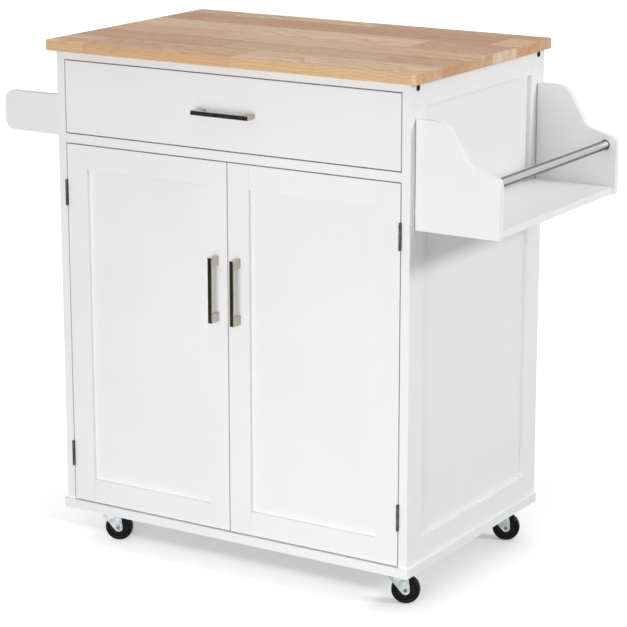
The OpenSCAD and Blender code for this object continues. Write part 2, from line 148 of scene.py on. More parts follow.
# Water-based enamel sprayed on board: an even cool white, satin, with a very slight orange peel.
def makeSprayedEnamel():
    material, tree, surface, place = startMaterial("sprayedSatinEnamel", Roughness=0.42, IOR=1.5)
    patches = addNode(tree, "ShaderNodeTexNoise", {"Scale": 1000 / paint["mottle"], "Detail": 3.0},
                      {"Vector": place})
    tone = addNode(tree, "ShaderNodeValToRGB",
                   {"stops": [(0.3, toLinear(paint["shade"])), (0.7, toLinear(paint["color"]))]},
                   {"Fac": patches.outputs["Fac"]})
    gloss = addNode(tree, "ShaderNodeMapRange",
                    {"To Min": paint["roughness"][0], "To Max": paint["roughness"][1]},
                    {"Value": patches.outputs["Fac"]})
    peel = addNode(tree, "ShaderNodeTexNoise", {"Scale": 1000 / paint["peel"], "Detail": 2.0},
                   {"Vector": place})
    bump = addNode(tree, "ShaderNodeBump", {"Strength": 0.5, "Distance": paint["peelDepth"] * mm},
                   {"Height": peel.outputs["Fac"]})
    connect(tree, tone.outputs["Color"], surface, "Base Color")
    connect(tree, gloss.outputs["Result"], surface, "Roughness")
    connect(tree, bump.outputs["Normal"], surface, "Normal")
    return material


block = {
    "rowWidth": 86,  # mm
    "staveLength": 300,
    "ring": 5.5,  # mm between growth rings
    "leanAlong": (-0.10, 0.10),  # how far the rings lean, as a slope
    "leanAcross": (0.12, 0.34),
    "wander": (7.0, 0.035),  # how often per m and how far in m the rings wander
    "offset": 1.7,  # staves by which rows may be shifted
    "fibre": (7.0, 260.0, 260.0),  # fibres per m along, across and through a stave
    "fibreShare": 0.08,
    "poresAlong": 70.0,  # per m
    "pore": 1.2,  # mm across; real pores are 0.3 mm and wouldn't show
    "tones": [(0.0, "#C99F80"), (0.2, "#E0BE9C"), (0.45, "#E9CFAC"), (0.7, "#CDA385"), (1.0, "#E6C8A8")],
    "late": "#CC8F5C",  # colour of the denser part of a ring
    "lateShare": 0.46,
    "pores": "#B79A80",
    "seam": "#A27C58",
    "seamShare": 0.5,
    "seamReach": (0.010, 0.0022),  # half widths, as a share of a row and of a stave
    "roughness": (0.36, 0.52),
    # The sawn ends of the rows, from the front edge to the back.
    "ends": ["#C79A70", "#BE8C60", "#C6986D", "#DDC2A6", "#C08B5B", "#CBA07A"],
    "endShare": 0.8,
    "streak": 14.0,  # mm between lighter and darker bands of fibre
    "streakShare": 0.14,
    "streakMiddle": 0.97,
    "frontEdge": "#E6B981",  # painted light: faces turned to the front take a golden tone, standing in for how light falls on the front edge
    "paintedFrontShare": 0.4,
}


# Hevea staves glued side by side, sanded and oiled: tan and pinkish boards, leaning rings, short pores.
def makeOiledHevea():
    material, tree, surface, place = startMaterial("oiledHeveaBlock", Roughness=0.42, IOR=1.45)
    frontEdge = span("worktop")[0].y
    axes = addNode(tree, "ShaderNodeSeparateXYZ", links={"Vector": place})
    fromEdge = addNode(tree, "ShaderNodeMath", {"operation": "SUBTRACT", 1: frontEdge - 0.5 * mm},
                       {0: axes.outputs["Y"]})
    row = addNode(tree, "ShaderNodeMath", {"operation": "DIVIDE", 1: block["rowWidth"] * mm},
                  {0: fromEdge.outputs[0]})
    rowId = addNode(tree, "ShaderNodeMath", {"operation": "FLOOR"}, {0: row.outputs[0]})
    rowShift = addNode(tree, "ShaderNodeTexWhiteNoise", {"noise_dimensions": "1D"}, {"W": rowId.outputs[0]})
    along = addNode(tree, "ShaderNodeMath", {"operation": "DIVIDE", 1: block["staveLength"] * mm},
                    {0: axes.outputs["X"]})
    column = addNode(tree, "ShaderNodeMath", {"operation": "MULTIPLY_ADD", 1: block["offset"]},
                     {0: rowShift.outputs["Value"], 2: along.outputs[0]})
    columnId = addNode(tree, "ShaderNodeMath", {"operation": "FLOOR"}, {0: column.outputs[0]})
    cell = addNode(tree, "ShaderNodeCombineXYZ", links={"X": rowId.outputs[0], "Y": columnId.outputs[0]})
    stave = addNode(tree, "ShaderNodeTexWhiteNoise", {"noise_dimensions": "3D"}, {"Vector": cell.outputs[0]})
    chance = addNode(tree, "ShaderNodeSeparateColor", links={"Color": stave.outputs["Color"]})

    # Rings are sheets that lean along and across the stave, and wander a little.
    leanAlong = addNode(tree, "ShaderNodeMapRange",
                        {"To Min": block["leanAlong"][0], "To Max": block["leanAlong"][1]},
                        {"Value": chance.outputs["Red"]})
    leanAcross = addNode(tree, "ShaderNodeMapRange",
                         {"To Min": block["leanAcross"][0], "To Max": block["leanAcross"][1]},
                         {"Value": chance.outputs["Green"]})
    moved = addNode(tree, "ShaderNodeVectorMath", {"operation": "ADD"}, {0: place, 1: stave.outputs["Color"]})
    wander = addNode(tree, "ShaderNodeTexNoise", {"Scale": block["wander"][0], "Detail": 2.0},
                     {"Vector": moved.outputs["Vector"]})
    partX = addNode(tree, "ShaderNodeMath", {"operation": "MULTIPLY_ADD"},
                    {0: axes.outputs["X"], 1: leanAlong.outputs["Result"], 2: axes.outputs["Z"]})
    partY = addNode(tree, "ShaderNodeMath", {"operation": "MULTIPLY_ADD"},
                    {0: axes.outputs["Y"], 1: leanAcross.outputs["Result"], 2: partX.outputs[0]})
    sheet = addNode(tree, "ShaderNodeMath", {"operation": "MULTIPLY_ADD", 1: block["wander"][1]},
                    {0: wander.outputs["Fac"], 2: partY.outputs[0]})
    phase = addNode(tree, "ShaderNodeMath", {"operation": "DIVIDE", 1: block["ring"] * mm},
                    {0: sheet.outputs[0]})
    ring = addNode(tree, "ShaderNodeMath", {"operation": "FRACT"}, {0: phase.outputs[0]})
    late = addNode(tree, "ShaderNodeMapRange",
                   {"interpolation_type": "SMOOTHSTEP", "From Min": 0.25, "From Max": 0.95,
                    "To Max": block["lateShare"]}, {"Value": ring.outputs[0]})

    # Fine fibre and pores are noise drawn out along the stave.
    fibrePlace = addNode(tree, "ShaderNodeVectorMath", {"operation": "MULTIPLY", 1: block["fibre"]},
                         {0: moved.outputs["Vector"]})
    fibre = addNode(tree, "ShaderNodeTexNoise", {"Scale": 1.0, "Detail": 4.0, "Roughness": 0.6},
                    {"Vector": fibrePlace.outputs["Vector"]})
    poresAcross = 1000 / block["pore"]
    porePlace = addNode(tree, "ShaderNodeVectorMath",
                        {"operation": "MULTIPLY", 1: (block["poresAlong"], poresAcross, poresAcross)},
                        {0: moved.outputs["Vector"]})
    pore = addNode(tree, "ShaderNodeTexNoise", {"Scale": 1.0, "Detail": 1.0},
                   {"Vector": porePlace.outputs["Vector"]})
    poreMask = addNode(tree, "ShaderNodeMapRange", {"From Min": 0.60, "From Max": 0.72, "To Max": 0.7},
                       {"Value": pore.outputs["Fac"]})

    tone = addNode(tree, "ShaderNodeValToRGB", {"stops": [(p, toLinear(c)) for p, c in block["tones"]]},
                   {"Fac": stave.outputs["Value"]})
    ringed = addNode(tree, "ShaderNodeMix", {"data_type": "RGBA", 7: toLinear(block["late"])},
                     {0: late.outputs["Result"], 6: tone.outputs["Color"]})
    fibreTone = addNode(tree, "ShaderNodeMapRange",
                        {"From Min": 0.3, "From Max": 0.7,
                         "To Min": 1 - block["fibreShare"], "To Max": 1 + block["fibreShare"]},
                        {"Value": fibre.outputs["Fac"]})
    across = 1000 / block["streak"]
    streakPlace = addNode(tree, "ShaderNodeVectorMath", {"operation": "MULTIPLY", 1: (3.0, across, across)},
                          {0: moved.outputs["Vector"]})
    streak = addNode(tree, "ShaderNodeTexNoise", {"Scale": 1.0, "Detail": 3.0, "Roughness": 0.65},
                     {"Vector": streakPlace.outputs["Vector"]})
    streakTone = addNode(tree, "ShaderNodeMapRange",
                         {"From Min": 0.3, "From Max": 0.7,
                          "To Min": block["streakMiddle"] - block["streakShare"],
                          "To Max": block["streakMiddle"] + block["streakShare"]},
                         {"Value": streak.outputs["Fac"]})
    grainTone = addNode(tree, "ShaderNodeMath", {"operation": "MULTIPLY"},
                        {0: fibreTone.outputs["Result"], 1: streakTone.outputs["Result"]})
    fibred = addNode(tree, "ShaderNodeVectorMath", {"operation": "SCALE"},
                     {0: ringed.outputs[2], "Scale": grainTone.outputs[0]})
    pored = addNode(tree, "ShaderNodeMix",
                    {"data_type": "RGBA", "blend_type": "MULTIPLY", 7: toLinear(block["pores"])},
                    {0: poreMask.outputs["Result"], 6: fibred.outputs["Vector"]})

    # Glue lines between rows and at the butted ends of staves.
    seams = []
    for source, reach in zip((row, column), block["seamReach"]):
        part = addNode(tree, "ShaderNodeMath", {"operation": "FRACT"}, {0: source.outputs[0]})
        toLine = addNode(tree, "ShaderNodeMath", {"operation": "PINGPONG", 1: 0.5}, {0: part.outputs[0]})
        seams.append(addNode(tree, "ShaderNodeMapRange",
                             {"From Max": reach, "To Min": block["seamShare"], "To Max": 0.0},
                             {"Value": toLine.outputs[0]}))
    seam = addNode(tree, "ShaderNodeMath", {"operation": "MAXIMUM"},
                   {0: seams[0].outputs["Result"], 1: seams[1].outputs["Result"]})
    seamed = addNode(tree, "ShaderNodeMix", {"data_type": "RGBA", 7: toLinear(block["seam"])},
                     {0: seam.outputs[0], 6: pored.outputs[2]})

    # End grain drinks more oil than the faces, and each row takes it differently.
    facing = addNode(tree, "ShaderNodeSeparateXYZ",
                     links={"Vector": addNode(tree, "ShaderNodeTexCoord").outputs["Normal"]})
    turned = addNode(tree, "ShaderNodeMath", {"operation": "ABSOLUTE"}, {0: facing.outputs["X"]})
    onEnd = addNode(tree, "ShaderNodeMapRange",
                    {"From Min": 0.6, "From Max": 0.9, "To Max": block["endShare"]},
                    {"Value": turned.outputs[0]})
    count = len(block["ends"])
    rowPart = addNode(tree, "ShaderNodeMath", {"operation": "DIVIDE", 1: float(count)}, {0: row.outputs[0]})
    endTone = addNode(tree, "ShaderNodeValToRGB",
                      {"stops": [(i / count, toLinear(c)) for i, c in enumerate(block["ends"])]},
                      {"Fac": rowPart.outputs[0]})
    endTone.color_ramp.interpolation = "CONSTANT"
    endFibred = addNode(tree, "ShaderNodeVectorMath", {"operation": "SCALE"},
                        {0: endTone.outputs["Color"], "Scale": grainTone.outputs[0]})
    ended = addNode(tree, "ShaderNodeMix", {"data_type": "RGBA"},
                    {0: onEnd.outputs["Result"], 6: seamed.outputs[2], 7: endFibred.outputs["Vector"]})
    # Painted light: faces turned to the front are tinted golden, standing in for the light on the front edge
    # against the top.
    paintedFrontMask = addNode(tree, "ShaderNodeMapRange",
                      {"From Min": -0.9, "From Max": -0.6, "To Min": block["paintedFrontShare"], "To Max": 0.0},
                      {"Value": facing.outputs["Y"]})
    paintedFrontTinted = addNode(tree, "ShaderNodeMix", {"data_type": "RGBA", 7: toLinear(block["frontEdge"])},
                      {0: paintedFrontMask.outputs["Result"], 6: ended.outputs[2]})
    gloss = addNode(tree, "ShaderNodeMapRange",
                    {"To Min": block["roughness"][0], "To Max": block["roughness"][1]},
                    {"Value": fibre.outputs["Fac"]})
    relief = addNode(tree, "ShaderNodeMath", {"operation": "MULTIPLY_ADD", 1: -1.5},
                     {0: poreMask.outputs["Result"], 2: fibre.outputs["Fac"]})
    bump = addNode(tree, "ShaderNodeBump", {"Strength": 0.35, "Distance": 0.05 * mm},
                   {"Height": relief.outputs[0]})
    connect(tree, paintedFrontTinted.outputs[2], surface, "Base Color")
    connect(tree, gloss.outputs["Result"], surface, "Roughness")
    connect(tree, bump.outputs["Normal"], surface, "Normal")
    return material


drawerPly = {"ply": 1.6, "face": "#DCC7A4", "dark": "#C3A67C", "edge": "#A98358"}


# Birch plywood with clear lacquer: pale faces with long fibre, and plies showing on the sawn edges.
def makeLacqueredPly(name, acrossAxis):
    material, tree, surface, place = startMaterial(name, Roughness=0.45, IOR=1.5)
    axes = addNode(tree, "ShaderNodeSeparateXYZ", links={"Vector": place})
    scale = {"X": (260.0, 9.0, 120.0), "Y": (9.0, 260.0, 120.0), "Z": (9.0, 120.0, 260.0)}[acrossAxis]
    fibrePlace = addNode(tree, "ShaderNodeVectorMath", {"operation": "MULTIPLY", 1: scale}, {0: place})
    fibre = addNode(tree, "ShaderNodeTexNoise", {"Scale": 1.0, "Detail": 4.0},
                    {"Vector": fibrePlace.outputs["Vector"]})
    tone = addNode(tree, "ShaderNodeValToRGB",
                   {"stops": [(0.3, toLinear(drawerPly["dark"])), (0.65, toLinear(drawerPly["face"]))]},
                   {"Fac": fibre.outputs["Fac"]})
    plies = addNode(tree, "ShaderNodeMath", {"operation": "PINGPONG", 1: drawerPly["ply"] * mm},
                    {0: axes.outputs[acrossAxis]})
    dark = addNode(tree, "ShaderNodeMapRange",
                   {"From Min": 0.5 * drawerPly["ply"] * mm, "From Max": 0.7 * drawerPly["ply"] * mm,
                    "To Max": 0.5}, {"Value": plies.outputs[0]})
    facing = addNode(tree, "ShaderNodeSeparateXYZ",
                     links={"Vector": addNode(tree, "ShaderNodeTexCoord").outputs["Normal"]})
    turned = addNode(tree, "ShaderNodeMath", {"operation": "ABSOLUTE"}, {0: facing.outputs[acrossAxis]})
    onEdge = addNode(tree, "ShaderNodeMath", {"operation": "LESS_THAN", 1: 0.5}, {0: turned.outputs[0]})
    amount = addNode(tree, "ShaderNodeMath", {"operation": "MULTIPLY"},
                     {0: dark.outputs["Result"], 1: onEdge.outputs[0]})
    color = addNode(tree, "ShaderNodeMix", {"data_type": "RGBA", 7: toLinear(drawerPly["edge"])},
                    {0: amount.outputs[0], 6: tone.outputs["Color"]})
    bump = addNode(tree, "ShaderNodeBump", {"Strength": 0.3, "Distance": 0.04 * mm},
                   {"Height": fibre.outputs["Fac"]})
    connect(tree, color.outputs[2], surface, "Base Color")
    connect(tree, bump.outputs["Normal"], surface, "Normal")
    return material


lined = {
    "stretch": 60,  # how many times longer than wide a line is
    "spread": 0.3,  # how far the roughness varies, as a share
}


# A metal whose polish or plating runs in fine lines along one axis; widths in mm.
def makeLinedMetal(name, light, dark, roughness, lineWidth, axis, spotSize=25.0):
    material, tree, surface, place = startMaterial(name, Metallic=1.0)
    drawn = [1000 / lineWidth] * 3
    drawn[axis] = 1000 / (lineWidth * lined["stretch"])
    linePlace = addNode(tree, "ShaderNodeVectorMath", {"operation": "MULTIPLY", 1: drawn}, {0: place})
    lines = addNode(tree, "ShaderNodeTexNoise", {"Scale": 1.0, "Detail": 3.0},
                    {"Vector": linePlace.outputs["Vector"]})
    spots = addNode(tree, "ShaderNodeTexNoise", {"Scale": 1000 / spotSize, "Detail": 2.0}, {"Vector": place})
    mixed = addNode(tree, "ShaderNodeMath", {"operation": "MULTIPLY_ADD", 1: 0.5},
                    {0: spots.outputs["Fac"], 2: lines.outputs["Fac"]})
    tone = addNode(tree, "ShaderNodeValToRGB",
                   {"stops": [(0.55, toLinear(dark)), (0.95, toLinear(light))]}, {"Fac": mixed.outputs[0]})
    spread = lined["spread"] * roughness
    gloss = addNode(tree, "ShaderNodeMapRange",
                    {"To Min": roughness - spread, "To Max": roughness + spread},
                    {"Value": lines.outputs["Fac"]})
    bump = addNode(tree, "ShaderNodeBump", {"Strength": 0.25, "Distance": 0.02 * mm},
                   {"Height": lines.outputs["Fac"]})
    connect(tree, tone.outputs["Color"], surface, "Base Color")
    connect(tree, gloss.outputs["Result"], surface, "Roughness")
    connect(tree, bump.outputs["Normal"], surface, "Normal")
    return material


tube = {
    # Painted reflections: bright and dark lines round the tube stand in for the studio mirrored in the
    # polish, in turns from its left side by way of the underside.
    "lines": [(0.0, "#6B6C6E"), (0.10, "#C6C8CA"), (0.24, "#8B8D8F"), (0.33, "#1E1F20"), (0.455, "#2C2D2E"),
              (0.49, "#8B8C8E"), (0.52, "#C9CACB"), (0.56, "#FBFBFB"), (0.625, "#F4F4F5"), (0.655, "#BBBCBE"),
              (0.70, "#8A8B8D"), (0.722, "#1E1F20"), (0.745, "#2C2D2E"), (0.775, "#B9BBBD"),
              (0.90, "#A9ABAD")],
    "scratch": 0.5,  # mm between polishing scratches
    "stretch": 600,  # how many times longer than wide they are
    "metal": 0.72,  # wax and dust on the polish scatter some light
    "roughness": (0.20, 0.32),
}


# Stainless tube polished lengthways, with painted reflections: bright and dark colour lines run along it and
# stand in for the studio mirrored in the polish.
def makeTubePaintedReflections(name, bar):
    material, tree, surface, place = startMaterial(name, Metallic=tube["metal"])
    center = middle(bar)
    axes = addNode(tree, "ShaderNodeSeparateXYZ", links={"Vector": place})
    across = addNode(tree, "ShaderNodeMath", {"operation": "SUBTRACT", 1: center.x}, {0: axes.outputs["X"]})
    above = addNode(tree, "ShaderNodeMath", {"operation": "SUBTRACT", 1: center.z}, {0: axes.outputs["Z"]})
    angle = addNode(tree, "ShaderNodeMath", {"operation": "ARCTAN2"},
                    {0: above.outputs[0], 1: across.outputs[0]})
    part = addNode(tree, "ShaderNodeMapRange", {"From Min": -math.pi, "From Max": math.pi},
                   {"Value": angle.outputs[0]})
    # Painted reflections: these colour bands round the tube stand in for mirrored light and dark.
    tone = addNode(tree, "ShaderNodeValToRGB", {"stops": [(p, toLinear(c)) for p, c in tube["lines"]]},
                   {"Fac": part.outputs["Result"]})
    drawn = 1000 / tube["scratch"]
    linePlace = addNode(tree, "ShaderNodeVectorMath",
                        {"operation": "MULTIPLY", 1: (drawn, drawn / tube["stretch"], drawn)}, {0: place})
    scratches = addNode(tree, "ShaderNodeTexNoise", {"Scale": 1.0, "Detail": 3.0},
                        {"Vector": linePlace.outputs["Vector"]})
    shade = addNode(tree, "ShaderNodeMapRange",
                    {"From Min": 0.3, "From Max": 0.7, "To Min": 0.93, "To Max": 1.06},
                    {"Value": scratches.outputs["Fac"]})
    color = addNode(tree, "ShaderNodeVectorMath", {"operation": "SCALE"},
                    {0: tone.outputs["Color"], "Scale": shade.outputs["Result"]})
    gloss = addNode(tree, "ShaderNodeMapRange",
                    {"To Min": tube["roughness"][0], "To Max": tube["roughness"][1]},
                    {"Value": scratches.outputs["Fac"]})
    bump = addNode(tree, "ShaderNodeBump", {"Strength": 0.1, "Distance": 0.004 * mm},
                   {"Height": scratches.outputs["Fac"]})
    connect(tree, color.outputs["Vector"], surface, "Base Color")
    connect(tree, gloss.outputs["Result"], surface, "Roughness")
    connect(tree, bump.outputs["Normal"], surface, "Normal")
    return material


zinc = {
    "light": "#C3CACC",
    "dark": "#8C9599",
    "grain": 6.0,  # mm across a crystal patch
    "roughness": (0.26, 0.44),
}


# Bright zinc plate over pressed steel: cool bluish white with faint crystal patches.
def makeZincPlate():
    material, tree, surface, place = startMaterial("brightZincPlate", Metallic=1.0)
    crystals = addNode(tree, "ShaderNodeTexVoronoi", {"Scale": 1000 / zinc["grain"]}, {"Vector": place})
    haze = addNode(tree, "ShaderNodeTexNoise", {"Scale": 60.0, "Detail": 4.0}, {"Vector": place})
    mixed = addNode(tree, "ShaderNodeMix", {"data_type": "RGBA", 0: 0.6},
                    {6: crystals.outputs["Color"], 7: haze.outputs["Color"]})
    tone = addNode(tree, "ShaderNodeValToRGB",
                   {"stops": [(0.3, toLinear(zinc["dark"])), (0.65, toLinear(zinc["light"]))]},
                   {"Fac": mixed.outputs[2]})
    gloss = addNode(tree, "ShaderNodeMapRange",
                    {"To Min": zinc["roughness"][0], "To Max": zinc["roughness"][1]},
                    {"Value": haze.outputs["Fac"]})
    bump = addNode(tree, "ShaderNodeBump", {"Strength": 0.2, "Distance": 0.02 * mm},
                   {"Height": haze.outputs["Fac"]})
    connect(tree, tone.outputs["Color"], surface, "Base Color")
    connect(tree, gloss.outputs["Result"], surface, "Roughness")
    connect(tree, bump.outputs["Normal"], surface, "Normal")
    return material


# A moulded or coated finish with fine texture and scuffs; texture and depth in mm.
def makeScuffedFinish(name, light, dark, roughness, texture, metallic=0.0, depth=0.03, shine=0.5):
    material, tree, surface, place = startMaterial(name, Metallic=metallic)
    surface.inputs["Specular IOR Level"].default_value = shine
    fine = addNode(tree, "ShaderNodeTexNoise", {"Scale": 1000 / texture, "Detail": 3.0}, {"Vector": place})
    scuffs = addNode(tree, "ShaderNodeTexNoise", {"Scale": 90.0, "Detail": 6.0, "Roughness": 0.7},
                     {"Vector": place})
    tone = addNode(tree, "ShaderNodeValToRGB", {"stops": [(0.4, toLinear(dark)), (0.75, toLinear(light))]},
                   {"Fac": scuffs.outputs["Fac"]})
    spread = 0.07
    gloss = addNode(tree, "ShaderNodeMapRange",
                    {"From Min": 0.3, "From Max": 0.7,
                     "To Min": roughness - spread, "To Max": roughness + spread},
                    {"Value": scuffs.outputs["Fac"]})
    bump = addNode(tree, "ShaderNodeBump", {"Strength": 0.3, "Distance": depth * mm},
                   {"Height": fine.outputs["Fac"]})
    connect(tree, tone.outputs["Color"], surface, "Base Color")
    connect(tree, gloss.outputs["Result"], surface, "Roughness")
    connect(tree, bump.outputs["Normal"], surface, "Normal")
    return material


enamel = makeSprayedEnamel()
hevea = makeOiledHevea()
plySides = makeLacqueredPly("lacqueredBirchPlySides", "X")
plyBack = makeLacqueredPly("lacqueredBirchPlyBack", "Y")
plyBottom = makeLacqueredPly("lacqueredBirchPlyBottom", "Z")
rackTube = makeTubePaintedReflections("rackTubePaintedReflections", "rack_bar")
towelTube = makeTubePaintedReflections("towelTubePaintedReflections", "towel_bar")
# Zinc alloy and pressed steel plated in satin nickel: warm grey, clear reflections, fine lines.
satinNickelX = makeLinedMetal("satinNickelLongways", "#C9C2B2", "#AAA392", roughness=0.13,
                              lineWidth=0.5, axis=0)
satinNickelZ = makeLinedMetal("satinNickelUpright", "#C9C2B2", "#AAA392", roughness=0.13,
                              lineWidth=0.5, axis=2)
# The same plate on rolled hinge steel is given a dark, blotchy colour: painted reflection, standing in for
# the dark the barrels mirror, so they read dark with lighter and darker knuckles.
hingeNickelPaintedDark = makeLinedMetal("hingeNickelPaintedReflection", "#6E6659", "#1A1511", roughness=0.20,
                            lineWidth=0.7, axis=2, spotSize=7.0)
zincPlate = makeZincPlate()
# Axle steel is turned bright and left bare.
axleSteel = makeLinedMetal("turnedAxleSteel", "#9A9DA0", "#5E6164", roughness=0.24,
                           lineWidth=0.4, axis=1)
# Polypropylene wheels come moulded deep black with a soft polish.
wheelPlastic = makeScuffedFinish("mouldedBlackPolypropylene", "#101011", "#070708", roughness=0.24,
                              texture=1.2, shine=0.16)
blackOxide = makeScuffedFinish("blackOxideSteel", "#2C2724", "#15110F", roughness=0.42,
                            texture=0.8, metallic=0.6, shine=0.2)
catchPlastic = makeScuffedFinish("mouldedNylonCatch", "#E6E4DE", "#D9D6CE", roughness=0.5,
                              texture=1.0)
magnet = makeScuffedFinish("platedMagnet", "#77787A", "#5B5C5E", roughness=0.35,
                        texture=0.8, metallic=1.0)
print("materials made:", len(bpy.data.materials))


# How faces that meet are treated.
creases = {
    "weld": 0.00001,  # m between points that become one
    "flat": math.radians(0.5),  # faces closer than this are one face
    "soft": math.radians(28),  # shaded as one curve below this
    "round": math.radians(35),  # edges sharper than this are rounded
}


def makeSmoother():
    tree = bpy.data.node_groups.new("joinAndSmooth", "GeometryNodeTree")
    tree.interface.new_socket("Geometry", in_out="INPUT", socket_type="NodeSocketGeometry")
    tree.interface.new_socket("Geometry", in_out="OUTPUT", socket_type="NodeSocketGeometry")
    start = addNode(tree, "NodeGroupInput")
    joined = addNode(tree, "GeometryNodeMergeByDistance", {"Distance": creases["weld"]},
                     {"Geometry": start.outputs[0]})
    bend = addNode(tree, "GeometryNodeInputMeshEdgeAngle")
    gentle = addNode(tree, "FunctionNodeCompare", {"operation": "LESS_THAN", 1: creases["soft"]},
                     {0: bend.outputs["Unsigned Angle"]})
    faces = addNode(tree, "GeometryNodeSetShadeSmooth", {"domain": "FACE", "Shade Smooth": True},
                    {"Geometry": joined.outputs[0]})
    edges = addNode(tree, "GeometryNodeSetShadeSmooth", {"domain": "EDGE"},
                    {"Geometry": faces.outputs[0], "Shade Smooth": gentle.outputs[0]})
    addNode(tree, "NodeGroupOutput", links={0: edges.outputs[0]})
    return tree


smoother = makeSmoother()


def roundAndSmooth(piece, edge, steps):
    if edge:
        bevel = piece.modifiers.new("edge", "BEVEL")
        bevel.width = edge * mm
        bevel.segments = steps
        bevel.limit_method = "ANGLE"
        bevel.angle_limit = creases["round"]
    smooth = piece.modifiers.new("smooth", "NODES")
    smooth.node_group = smoother
    piece.modifiers.new("flatShading", "WEIGHTED_NORMAL").keep_sharp = True


def finishNode(name, material, edge, steps=2):
    node = nodes[name]
    node.data.materials.clear()
    node.data.materials.append(material)
    weld = node.modifiers.new("weld", "WELD")
    weld.merge_threshold = creases["weld"]
    flatten = node.modifiers.new("flatten", "DECIMATE")
    flatten.decimate_type = "DISSOLVE"
    flatten.angle_limit = creases["flat"]
    roundAndSmooth(node, edge, steps)


# Rounding of the edges in mm: sanded hardwood, then routed and painted boards, then sheet metal.
finishes = {
    "worktop": (hevea, 1.6, 3),
    "base_board": (enamel, 0.9),
    "back_panel": (enamel, 0.3),
    "front_top_rail": (enamel, 0.5),
    "front_mid_rail": (enamel, 0.5),
    "rear_top_rail": (enamel, 0.5),
    "shelf": (enamel, 0.6),
    "rack_front_panel": (enamel, 2.4, 3),
    "rack_rear_panel": (enamel, 2.4, 3),
    "rack_shelf": (enamel, 1.2),
    "towel_front_bracket": (enamel, 2.4, 3),
    "towel_rear_bracket": (enamel, 2.4, 3),
    "drawer_front": (enamel, 0.8),
    "drawer_sides": (plySides, 0.5),
    "drawer_back": (plyBack, 0.5),
    "drawer_bottom": (plyBottom, 0.2),
    "connector_bolts": (blackOxide, 0.3),
    "shelf_pins": (zincPlate, 0.3),
    "door_catch": (catchPlastic, 0.6),
    "top_brackets": (zincPlate, 0.3),
    "drawer_slide_channels": (zincPlate, 0.2),
    "drawer_slide_runners": (zincPlate, 0.2),
    "hinge_frame_leaves": (hingeNickelPaintedDark, 0.2),
    "hinge_pins": (hingeNickelPaintedDark, 0.3),
    "left_hinge_leaves": (hingeNickelPaintedDark, 0.2),
    "right_hinge_leaves": (hingeNickelPaintedDark, 0.2),
    "left_door_strike": (zincPlate, 0.2),
    "right_door_strike": (zincPlate, 0.2),
    "caster_screws": (zincPlate, 0.3),
    "caster_plates": (zincPlate, 0.3),
    "rack_bar": (rackTube, 0),
    "towel_bar": (towelTube, 0),
    "drawer_pull": (satinNickelX, 0.4),
    "left_door_pull": (satinNickelZ, 0.4),
    "right_door_pull": (satinNickelZ, 0.4),
}
for side in ("left", "right"):
    finishes[side + "_side_stiles"] = (enamel, 0.5)
    finishes[side + "_side_rails"] = (enamel, 0.5)
    finishes[side + "_side_panel"] = (enamel, 0.3)
    finishes[side + "_door_stiles"] = (enamel, 0.6)
    finishes[side + "_door_rails"] = (enamel, 0.6)
    finishes[side + "_door_panel"] = (enamel, 0.3)
for corner in casterNames:
    finishes[corner + "_fork"] = (zincPlate, 0.4)
    finishes[corner + "_axle"] = (axleSteel, 0.2)
    finishes[corner + "_wheel"] = (wheelPlastic, 0.2)
for name in nodes:
    finishNode(name, *finishes[name])
print("CAD nodes finished:", len(finishes))


def addPiece(name, bm, material, body, edge=0.0, steps=2):
    bmesh.ops.recalc_face_normals(bm, faces=bm.faces)
    mesh = bpy.data.meshes.new(name)
    bm.to_mesh(mesh)
    bm.free()
    mesh.materials.append(material)
    piece = bpy.data.objects.new(name, mesh)
    bpy.context.scene.collection.objects.link(piece)
    roundAndSmooth(piece, edge, steps)
    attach(piece, body)
    return piece


# Turns (along, across, out) in mm into the row frame; out is the way a head or a pull stands out.
def facingOut(base, out, along):
    outward = Vector(out)
    lengthways = Vector(along)
    across = outward.cross(lengthways)
    return lambda u, v, w: base + (lengthways * u + across * v + outward * w) * mm


# Flat sides round each kind of turned part.
flats = {"wheel": 72, "ring": 48, "screw": 32, "tip": 28}


# Turns a profile of (radius, height, lobe) round the out axis; lobe pulls in the four flutes of a cross.
def spinProfile(bm, profile, place, steps, closed=False):
    rings = []
    for ring in profile:
        radius, height = ring[:2]
        lobe = ring[2] if len(ring) > 2 else 0.0
        if radius == 0:
            rings.append([bm.verts.new(place(0, 0, height))])
            continue
        points = []
        for step in range(steps):
            angle = 2 * math.pi * step / steps
            reach = radius * (1 - lobe * math.sin(2 * angle) ** 2)
            points.append(bm.verts.new(place(reach * math.cos(angle), reach * math.sin(angle), height)))
        rings.append(points)
    pairs = list(zip(rings, rings[1:]))
    if closed:
        pairs.append((rings[-1], rings[0]))
    for inner, outer in pairs:
        for step in range(steps):
            after = (step + 1) % steps
            corners = [inner[step % len(inner)], inner[after % len(inner)],
                       outer[after % len(outer)], outer[step % len(outer)]]
            kept = [v for i, v in enumerate(corners) if v not in corners[:i]]
            bm.faces.new(kept)


pull = {
    "bar": 4.0,  # mm through the bar
    "post": 16.0,  # mm along the foot
    "fillet": 2.5,  # mm inside, between bar and foot
    "filletSteps": 5,
    "edge": 0.7,  # mm, broken by the polishing wheel
    "screw": {"radius": 4.0, "height": 2.2},
}


